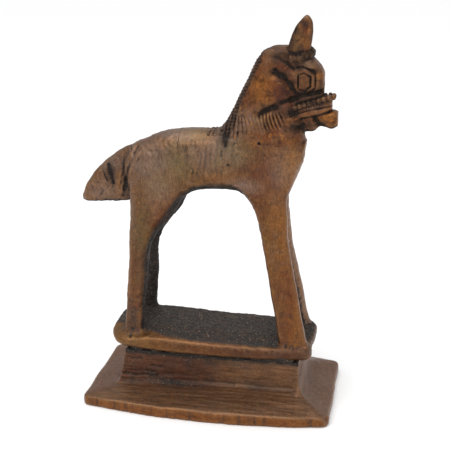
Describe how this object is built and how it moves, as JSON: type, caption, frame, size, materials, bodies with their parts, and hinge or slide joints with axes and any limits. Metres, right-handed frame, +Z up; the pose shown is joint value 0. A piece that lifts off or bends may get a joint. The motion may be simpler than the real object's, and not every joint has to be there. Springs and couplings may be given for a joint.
{
  "type": "bronze horse statuette",
  "caption": "Small cast bronze horse standing on a plinth plate and a stepped pedestal, with a beaded bridle, notched mane and wedge tail.",
  "frame": {"origin": "centre of the pedestal's flat underside", "axes": "+Z up, +X the way the horse faces, +Y towards the horse's left side"},
  "size_m": [0.1053, 0.062, 0.1562],
  "materials": {
    "pedestal_bronze": "cast and filed bronze, satin, brown patina",
    "bedding": "dark rough filler with pale grains",
    "pins": "turned bronze",
    "plate_bronze": "granular dark patina on top, rubbed edges",
    "leg_bronze": "satin rubbed bronze, dark inside",
    "body_bronze": "satin bronze with grey-green and lilac patina",
    "head_bronze": "rubbed golden bronze with dark recesses"
  },
  "bodies": {
    "root": {"flared_base": "pedestal_bronze", "pedestal_block": "pedestal_bronze", "bedding_layer": "bedding", "fixing_pins": "pins", "plinth_plate": "plate_bronze", "hindleg_right": "leg_bronze", "hindleg_left": "leg_bronze", "foreleg_right": "leg_bronze", "foreleg_left": "leg_bronze", "torso": "body_bronze", "tail": "body_bronze", "saddle_cloth": "body_bronze", "neck": "head_bronze", "neck_collar": "head_bronze", "mane": "head_bronze", "head": "head_bronze", "lower_jaw": "head_bronze", "bridle_band": "head_bronze", "eye_right": "head_bronze", "eye_left": "head_bronze", "ear_right": "head_bronze", "ear_left": "head_bronze", "forelock": "head_bronze"}
  },
  "joints": []
}
